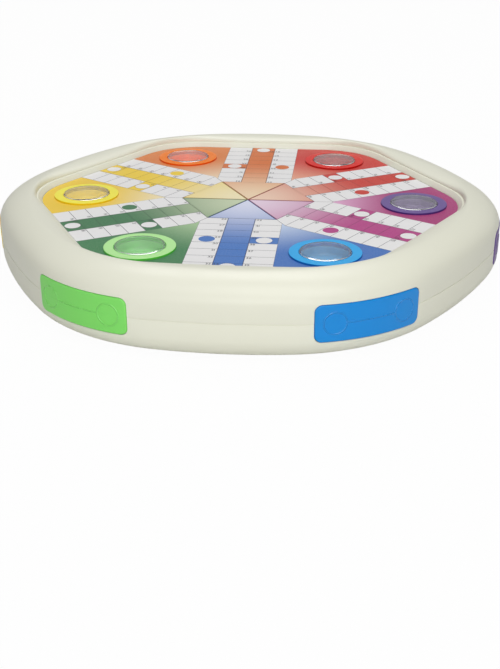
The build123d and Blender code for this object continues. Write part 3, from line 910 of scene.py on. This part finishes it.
beadAlongLines, copiesOnGrid = tubeTree(), gridTree()
plainDrawer = [frontPlate("front"), *trayMesh("tray")]
markPath = markLines()
for index, (player, degrees) in enumerate(playerTurn.items()):
    c, d, t = counterForm, dieForm, thumbForm
    body, place = "drawer_" + player, turnZ(degrees)
    # the raised marks are real geometry; their darker plastic is painted shade along them
    beads = runTree(beadAlongLines, markPath.copy(), {
        "Bead radius": t["ridge"] * mm, "Bead sides": t["beadSides"], "Finish": plastic["MarkPaintedShade"][player]})
    parts = [mesh.copy() for mesh in (*plainDrawer, beads)]
    for part in parts:
        part.transform(place)
    tray = joinMeshes("tray_" + player, parts, [plastic[kind][player] for kind in ("Drawer", "MarkPaintedShade")],
                      len(plainDrawer))
    addPiece("tray_" + player, smoothByAngle(tray, 40, recalc=False), body, player + "_drawer_plastic", body)
    four = runTree(copiesOnGrid, counterMesh("counter"), {
        "Rows": 2, "Columns": 2, "Pitch": c["pitch"] * mm, "Seed": index + c["firstSeed"],
        "Finish": plastic["Ring"][player]})
    four.transform(place @ Matrix.Translation(
        ((c["firstX"] + c["pitch"] / 2) * mm, (c["firstY"] - c["pitch"] / 2) * mm, c["floor"] * mm)))
    addPiece("discs_" + player, smoothByAngle(four, recalc=False), body, player + "_plastic",
             "counters_" + player)
    die = dieMesh("cube_" + player)
    spin = Matrix.Rotation(math.radians(90 * (index % 4)), 4, "XYZ"[index % 3])
    die.transform(place @ Matrix.Translation(
        (d["middleX"] * mm, d["middleY"] * mm, (c["floor"] + d["size"] / 2) * mm)) @ spin)
    addPiece("cube_" + player, die, body, "ivory_plastic", "die_" + player)
print("drawers, counters and dice made")


# print on the boards

def clipped(loop, normal, offset):
    # the part of a convex loop where point . normal is at most the offset
    out = []
    for index, point in enumerate(loop):
        before = loop[index - 1]
        here = point[0] * normal[0] + point[1] * normal[1] - offset
        there = before[0] * normal[0] + before[1] * normal[1] - offset
        if (here <= 0) != (there <= 0):
            u = there / (there - here)
            out.append((before[0] + (point[0] - before[0]) * u, before[1] + (point[1] - before[1]) * u))
        if here <= 0:
            out.append(tuple(point))
    return out


def insideLoop(loop, fence):
    # a convex loop kept inside a convex fence that runs counterclockwise
    for index, point in enumerate(fence):
        before = fence[index - 1]
        dx, dy = point[0] - before[0], point[1] - before[1]
        length = math.hypot(dx, dy)
        if length < 1e-9 or not loop:
            continue
        normal = (dy / length, -dx / length)
        loop = clipped(loop, normal, before[0] * normal[0] + before[1] * normal[1])
    return loop


class Print:
    # flat coloured shapes in thin layers above one face of a board
    def __init__(self, up):
        self.up = up
        self.verts, self.faces, self.indices, self.materials = [], [], [], []

    def stamp(self, points, faces, layer, material):
        if material not in self.materials:
            self.materials.append(material)
        start, lift = len(self.verts), printForm["step"] * layer
        if self.up:
            self.verts += [(x, y, boardLevel + lift) for x, y in points]
        else:
            self.verts += [(x, -y, caseForm["height"] - boardLevel - lift) for x, y in points]
        self.faces += [tuple(start + i for i in face) for face in faces]
        self.indices += [self.materials.index(material)] * len(faces)

    def shape(self, loop, layer, material, holes=()):
        faces = [range(len(loop))]
        if holes:
            loops = (loop, *holes)
            faces = geometry.tessellate_polygon([[Vector((x, y, 0)) for x, y in part] for part in loops])
            loop = [point for part in loops for point in part]
        if len(loop) > 2:
            self.stamp(loop, faces, layer, material)

    def number(self, value, x, y, size, degrees, layer, material):
        # digits about a point, with their heads along the angle
        up = polar(size, math.radians(degrees))
        text = [digits[c] for c in str(value)]
        pen = -sum(advance for _, _, advance in text) / 2
        for points, faces, advance in text:
            self.stamp([(x + up[1] * (pen + a) + up[0] * (b - 0.5), y - up[0] * (pen + a) + up[1] * (b - 0.5))
                        for a, b in points], faces, layer, material)
            pen += advance

    def finished(self, name):
        # every shape looks away from the board
        mesh = meshFrom(name, self.verts, self.faces, self.materials, self.indices)
        want = 1 if self.up else -1
        work = bmesh.new()
        work.from_mesh(mesh)
        work.normal_update()
        bmesh.ops.reverse_faces(work, faces=[f for f in work.faces if f.normal.z * want < 0])
        work.to_mesh(mesh)
        work.free()
        return mesh


def digitShapes():
    # outlines of the ten digits one unit tall, with their widths
    shapes = {}
    for c in "0123456789":
        curve = bpy.data.curves.new("digit", "FONT")
        curve.body = c
        curve.resolution_u = 2
        mesh = evaluated(linked("digit", curve))
        xs, ys = [v.co.x for v in mesh.vertices], [v.co.y for v in mesh.vertices]
        tall = max(ys) - min(ys)
        wide = (max(xs) - min(xs)) / tall + digitGap["both"]
        points = [((x - min(xs)) / tall + digitGap["before"], (y - min(ys)) / tall) for x, y in zip(xs, ys)]
        shapes[c] = (points, [tuple(p.vertices) for p in mesh.polygons], wide)
        bpy.data.curves.remove(curve)
        bpy.data.meshes.remove(mesh)
    return shapes


digitGap = {"before": 0.06, "both": 0.16}
digits = digitShapes()

printForm = {"step": 0.03, "cell": 22.0, "rowStart": 48.4, "rowPitch": 13.86, "rows": 8, "slantedColumn": 23.66,
             "line": 0.44, "middleLine": 0.9, "spokeLine": 1.7, "disc": 6.3, "discLine": 0.25, "numberSize": 3.0,
             "stationHole": 26.4, "holeSides": 72, "slant": 0.39, "edge": 0.15, "lastRow": 4, "homeSteps": 61,
             "filledRow": 3, "numbers": 17, "allNumbers": 102, "numberInset": 2.5, "numberAside": 0.64,
             "endAside": 0.38, "doorInside": 1.2, "doorOutside": 0.6, "far": 400}
armTurn = {"red": 30, "orange": 90, "yellow": 150, "green": 210, "blue": 270, "purple": 330}
armStart = {"blue": 26, "purple": 43, "red": 60, "orange": 77, "yellow": 94, "green": 9}
# of the arm near the middle and far out, of the home near the middle and far out, and of the thin lines
inks = {
    "purple": ((238, 216, 234), (184, 58, 134), (246, 196, 232), (170, 51, 118), (120, 36, 88)),
    "red": ((246, 214, 190), (206, 50, 34), (246, 190, 160), (208, 49, 40), (146, 30, 26)),
    "orange": ((248, 222, 186), (220, 116, 50), (250, 232, 200), (224, 130, 64), (150, 78, 34)),
    "yellow": ((250, 238, 196), (246, 212, 60), (248, 240, 214), (246, 208, 58), (160, 128, 30)),
    "green": ((206, 218, 184), (58, 120, 76), (190, 220, 172), (62, 128, 80), (30, 74, 48)),
    "blue": ((226, 230, 250), (66, 120, 196), (218, 232, 252), (64, 116, 192), (36, 66, 128)),
}
armFade, homeFade = (0, 113), (44, 132)
whiteCell = inkMaterial("whiteCell", (242, 241, 241))
greyLine = inkMaterial("greyLine", (96, 96, 104))
numberInk = inkMaterial("numberInk", (40, 40, 50))
armInk, homeInk, lineInk, fullInk = {}, {}, {}, {}
for player, (pale, full, homePale, homeFull, line) in inks.items():
    armInk[player] = inkMaterial(player + "ArmInk", pale, 0.3, full, *armFade)
    homeInk[player] = inkMaterial(player + "HomeInk", homePale, 0.3, homeFull, *homeFade)
    lineInk[player] = inkMaterial(player + "LineInk", line)
    fullInk[player] = inkMaterial(player + "FullInk", full)

printedEdge = (caseForm["boardApothem"] - printForm["edge"], caseForm["boardCorner"] - printForm["edge"])
boardEdge = straightLoop(*printedEdge, 360)
stationHole = circle(0, 0, printForm["stationHole"], printForm["holeSides"])


def armFrame(player):
    # the arm's angle in degrees and its column width
    degrees = armTurn[player]
    if degrees % 180 == 90:
        return degrees, printForm["cell"]
    return degrees + (1 if degrees in (30, 210) else -1) * printForm["slant"], printForm["slantedColumn"]


def armSpot(player, out, across):
    degrees, width = armFrame(player)
    (a, b), wide = polar(1, math.radians(degrees)), across * width
    return (a * out - b * wide, b * out + a * wide)


def sectorFence(player, inset):
    # the arm's wedge of the board, kept off its two neighbours by half a line
    middle = math.radians(armTurn[player])
    dx, dy = polar(inset / math.sin(toSide), middle)
    wedge = [(0, 0)] + [polar(printForm["far"], middle + side * toSide) for side in (-1, 1)]
    return [(x + dx, y + dy) for x, y in wedge]


def cellLoop(player, low, high, left, right, inset, side):
    # a cell drawn in by the inset and kept inside its arm's wedge and the board
    grow = inset / armFrame(player)[1]
    loop = [armSpot(player, low + inset, left + grow), armSpot(player, high - inset, left + grow),
            armSpot(player, high - inset, right - grow), armSpot(player, low + inset, right - grow)]
    return insideLoop(insideLoop(loop, sectorFence(player, side)), boardEdge)


def printHome(sheet, home, degrees):
    # the home fills its wedge under the arms, with a hole for its die station
    p = printForm
    turn = np.radians(np.linspace(degrees - 30, degrees + 30, p["homeSteps"]))
    loop = [(0.0, 0.0)] + [polar(r, t) for r, t in zip(straightRadius(turn, *printedEdge), turn)]
    hub = polar(stationForm["radius"], math.radians(degrees))
    sheet.shape(loop, 1, homeInk[home], [circle(*hub, p["stationHole"], p["holeSides"])])


def printArm(sheet, player):
    p = printForm
    start, pitch, disc = p["rowStart"], p["rowPitch"], p["disc"]
    ends = start + p["rows"] * pitch + p["lastRow"]
    arm, lines, full = armInk[player], lineInk[player], fullInk[player]
    for left, ink in ((-1.5, greyLine), (0.5, greyLine), (-0.5, lines)):
        sheet.shape(cellLoop(player, start, ends, left, left + 1, 0, 0.0), 2, ink)
    thin = p["line"] / 2
    column = cellLoop(player, 0, ends, -0.5, 0.5, p["middleLine"] / 2, 0.0)
    for row in range(p["rows"]):
        low = start + row * pitch
        high = low + pitch if row < p["rows"] - 1 else ends
        for left, filled in ((-1.5, False), (0.5, row == p["filledRow"])):
            ink = full if filled else whiteCell
            sheet.shape(cellLoop(player, low, high, left, left + 1, thin, thin), 3, ink)
        sheet.shape(insideLoop(cellLoop(player, low, high, -0.5, 0.5, thin, thin), column), 3, arm)
    rowMiddle = start + (p["filledRow"] + 0.5) * pitch
    sheet.shape(circle(*armSpot(player, rowMiddle, -1.0), disc), 4, full)
    for spot in (armSpot(player, rowMiddle, 1.0), armSpot(player, start + (p["rows"] - 0.5) * pitch, 0.0)):
        sheet.shape(circle(*spot, disc + p["discLine"]), 4, lines)
        sheet.shape(circle(*spot, disc), 5, whiteCell)
    # numbers stand beside the middle column, at the inner edge of each cell, with their heads to the middle
    for step in range(p["numbers"]):
        value = (armStart[player] - 1 + step) % p["allNumbers"] + 1
        row = min(step, p["rows"] - 1) if step <= p["rows"] else p["numbers"] - 1 - step
        across = -p["endAside"] if step == p["rows"] else math.copysign(p["numberAside"], step - p["rows"])
        spot = armSpot(player, start + row * pitch + p["numberInset"], across)
        sheet.number(value, *spot, p["numberSize"], armFrame(player)[0] + 180, 6, numberInk)


def printWedge(sheet, player, degrees):
    # a wedge of the central hexagon, with coloured spokes beside it
    p = printForm
    reach = p["rowStart"] / math.cos(toSide)
    loop = [(0, 0)] + [polar(reach, math.radians(degrees + side)) for side in (-30, 30)]
    sheet.shape(loop, 4, lineInk[player])
    inner = insideLoop(loop, sectorFence(player, p["spokeLine"] / 2))
    sheet.shape(clipped(inner, polar(1, math.radians(degrees)), p["rowStart"] - p["line"]), 5, armInk[player])
    # the middle column runs into its wedge without a line
    door = cellLoop(player, p["rowStart"] - p["doorInside"], p["rowStart"] + p["doorOutside"], -0.5, 0.5,
                    p["middleLine"] / 2, 0.0)
    sheet.shape(door, 5, armInk[player])


def pachisiPrint():
    sheet = Print(True)
    for home, degrees in playerTurn.items():
        printHome(sheet, home, degrees)
    for player in armTurn:
        printArm(sheet, player)
    for player, degrees in armTurn.items():
        printWedge(sheet, player, degrees)
    return sheet.finished("pachisiInks")


pachisiInks = addPiece("pachisiInks", pachisiPrint(), "case", "pachisi_print")
print("pachisi print made:", len(pachisiInks.data.polygons), "shapes")

raceForm = {"divider": 2.6, "bands": [(155.0, 124.5, 5), (121.9, 92.5, 4), (89.9, 60.5, 3)],
            "panel": (57.0, 14), "corner": 26.0, "cornerStep": 8, "numberSize": 5.0, "numberInset": 5.0,
            "numberShare": 0.26, "motif": 8.2, "starReach": 44, "star": 6.0}
raceTones = {"sky": (168, 214, 236), "cream": (246, 240, 226), "orange": (240, 170, 90), "blue": (52, 122, 200),
             "purple": (136, 52, 120), "green": (72, 164, 90), "lemon": (246, 226, 96), "pink": (240, 200, 180)}
raceInk = {name: inkMaterial(name + "RaceInk", tone) for name, tone in raceTones.items()}
raceYellow = inkMaterial("raceYellow", (250, 216, 40))
raceDark = inkMaterial("raceDark", (60, 50, 60))
raceInk["red"] = inkMaterial("raceRed", (214, 60, 50))


def motifShapes():
    # plain shapes of unit size for the race cells, each with its tone
    def disc(x, y, radius):
        return circle(x, y, radius, 40)

    rays = [([polar(0.62, a - 0.14), polar(0.98, a), polar(0.62, a + 0.14)], "orange")
            for a in [math.pi * k / 6 for k in range(12)]]
    leaf = [(side * 0.42 * math.sin(math.pi * k / 16), side * (1.8 * k / 16 - 0.9))
            for side, steps in ((1, range(17)), (-1, range(1, 16))) for k in steps]
    return {
        "star": [([polar(0.42 if k % 2 else 1, math.pi * k / 5 + math.pi / 2) for k in range(10)], "lemon")],
        "fish": [([(0.15 + 0.72 * a, 0.4 * b) for a, b in disc(0, 0, 1)], "blue"),
                 ([(-0.5, 0), (-0.98, 0.42), (-0.98, -0.42)], "blue"), (disc(0.52, 0.1, 0.08), "cream")],
        "sun": rays + [(disc(0, 0, 0.52), "orange")],
        "pawn": [([(-0.5, -0.85), (0.5, -0.85), (0.42, -0.6), (0.2, 0.25), (-0.2, 0.25), (-0.42, -0.6)], "red"),
                 (disc(0, 0.5, 0.34), "red")],
        "leaf": [(leaf, "green"), ([(-0.03, -1.1), (0.03, -1.1), (0.03, 0.7), (-0.03, 0.7)], "cream")],
        "kite": [([(0, 0.95), (-0.55, 0.2), (0, 0)], "purple"), ([(0, 0.95), (0, 0), (0.55, 0.2)], "red"),
                 ([(-0.55, 0.2), (0, -0.9), (0, 0)], "lemon"), ([(0, 0), (0, -0.9), (0.55, 0.2)], "sky")],
        "hill": [([(2 * k / 20 - 1, math.sin(math.pi * k / 20) - 0.7) for k in range(21)], "green"),
                 (disc(0.45, 0.55, 0.28), "orange")],
    }


motifs = motifShapes()


def placedMotif(kind, x, y, size, turn):
    c, s = polar(size, turn)
    return [([(x + a * c - b * s, y + a * s + b * c) for a, b in points], tone)
            for points, tone in motifs[kind]]


def raceCells():
    # the corners of each cell in its side's own axes, from the outer band in, with the middle of the side
    for band, (outer, inner, count) in enumerate(raceForm["bands"]):
        mitre = math.tan(toSide)
        wide = outer * mitre
        cuts = [-wide + 2 * wide * k / count for k in range(count)] + [wide]
        for side in range(6):
            for k, (low, high) in enumerate(zip(cuts, cuts[1:])):
                # a side's first and last cells run to the mitres
                first = -inner * mitre if k == 0 else low
                last = inner * mitre if k == count - 1 else high
                yield band, math.radians(60 * side - 90), inner, [
                    (outer, low), (outer, high), (inner, last), (inner, first)]


def racePrint():
    r = raceForm
    sheet = Print(False)
    sheet.shape(boardEdge, 1, raceYellow, [stationHole])
    tones, kinds = list(raceTones), list(motifs)
    for order, (band, middle, inner, loop) in enumerate(raceCells()):
        (a, b), gap = polar(1, middle), r["divider"] / 2

        def spot(out, across):
            return (a * out - b * across, b * out + a * across)

        out, across = sum(p[0] for p in loop) / 4, sum(p[1] for p in loop) / 4
        points = [spot(x, y - math.copysign(min(gap, abs(y - across)), y - across)) for x, y in loop]
        fence = straightLoop(r["bands"][band][0], max(r["corner"] - r["cornerStep"] * band, r["cornerStep"]))
        tone = tones[(order * 5 + band * 3) % len(tones)]
        sheet.shape(insideLoop(points, fence), 2, raceInk[tone])
        kind = kinds[(order * 3 + band) % len(kinds)]
        for outline, colour in placedMotif(kind, *spot(out, across), r["motif"], middle + math.pi / 2):
            sheet.shape(outline, 3, raceInk["cream" if colour == tone else colour])
        beside = across + (loop[1][1] - loop[0][1]) * r["numberShare"]
        sheet.number(order + 1, *spot(inner + r["numberInset"], beside), r["numberSize"],
                     math.degrees(middle) + 180, 4, raceDark)
    sheet.shape(straightLoop(*r["panel"]), 2, raceInk["blue"], [stationHole])
    for angle in [math.radians(degrees) for degrees in playerTurn.values()]:
        for outline, _ in placedMotif("star", *polar(r["starReach"], angle), r["star"], angle):
            sheet.shape(outline, 3, raceInk["cream"])
    return sheet.finished("raceInks")


raceInks = addPiece("raceInks", racePrint(), "case", "race_print")
print("race print made:", len(raceInks.data.polygons), "shapes")

# CAD nodes that keep their shape and get their finish here
cardStock = inkMaterial("cardStock", (226, 226, 222), 0.45)
for name, material in (("pachisi_board", cardStock), ("race_board", cardStock), ("die_wells", wellPlastic),
                       ("case_screws", screwSteel)):
    withMaterial(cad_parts[name].data, material)


# floor, lamps and camera

stageForm = {"floorColour": 0.8, "floorLift": 0.97, "worldLight": 0.09, "mirroredWhite": 0.42, "floorHalf": 6,
             "floorLevel": -0.0002, "floorRoughness": 0.9}
lampForm = {
    "upperFront": {"place": (0.3, -1.05, 1.6), "size": 1.6, "power": 18.5},
    "lowFront": {"place": (0.17, -2.0, 0.3), "size": 1.4, "power": 14.5},
    "back": {"place": (-0.1, 0.95, 1.9), "size": 1.4, "power": 18.0},
}
lampTarget = Vector((0, 0, 0.03))
cameraForm = {"place": (86.8, -854.6, 337.7), "target": (29.1, -262.5, 54.2), "roll": -0.138, "lens": 57.28,
              "sensor": 36, "shiftX": -0.0037}


def makeFloor():
    s = stageForm
    work = bmesh.new()
    bmesh.ops.create_grid(work, x_segments=1, y_segments=1, size=s["floorHalf"])
    floor = linked("studioFloor", written(work, "studioFloor"))
    floor.location.z = s["floorLevel"]
    material, tree, shader = newMaterial("floorPaper", {
        "Base Color": (s["floorColour"],) * 3 + (1,), "Roughness": s["floorRoughness"]})
    lift = shade(tree, "Math", {1: s["floorLift"]}, operation="MULTIPLY")
    wire(tree, (shade(tree, "LightPath"), "Is Camera Ray", lift, 0))
    chosenSurface(tree, (lift, 0), shader, shade(tree, "Emission", {"Strength": 1.0}))
    floor.data.materials.append(material)


def makeWorld():
    world = bpy.data.worlds.new("studio")
    bpy.context.scene.world = world
    world.use_nodes = True
    tree = world.node_tree
    soft = tree.nodes["Background"]
    soft.inputs["Color"].default_value = white
    soft.inputs["Strength"].default_value = stageForm["worldLight"]
    plain = shade(tree, "Background", {"Color": white, "Strength": 1.0})
    path = shade(tree, "LightPath")
    mirrored = shade(tree, "Math", {1: stageForm["mirroredWhite"]}, operation="MULTIPLY")
    seen = shade(tree, "Math", operation="MAXIMUM")
    wire(tree, (path, "Is Glossy Ray", mirrored, 0), (path, "Is Camera Ray", seen, 0), (mirrored, 0, seen, 1))
    chosenSurface(tree, (seen, 0), soft, plain, "World Output")


def facing(place, target):
    return (target - place).to_track_quat("-Z", "Y")


def makeLamps():
    for name, lamp in lampForm.items():
        light = bpy.data.lights.new(name, "AREA")
        light.shape, light.size, light.energy = "DISK", lamp["size"], lamp["power"]
        holder = linked(name, light)
        holder.location = lamp["place"]
        holder.rotation_euler = facing(Vector(lamp["place"]), lampTarget).to_euler()


def makeCamera():
    c = cameraForm
    lens = bpy.data.cameras.new("camera")
    lens.lens, lens.sensor_width, lens.shift_x = c["lens"], c["sensor"], c["shiftX"]
    camera = linked("camera", lens)
    place, aim = Vector(c["place"]) * mm, Vector(c["target"]) * mm
    camera.matrix_world = Matrix.Translation(place) @ facing(place, aim).to_matrix().to_4x4() @ turnZ(c["roll"])
    bpy.context.scene.camera = camera


makeFloor()
makeWorld()
makeLamps()
makeCamera()
bpy.context.scene.view_settings.view_transform = "Standard"
print("floor, lamps and camera set")
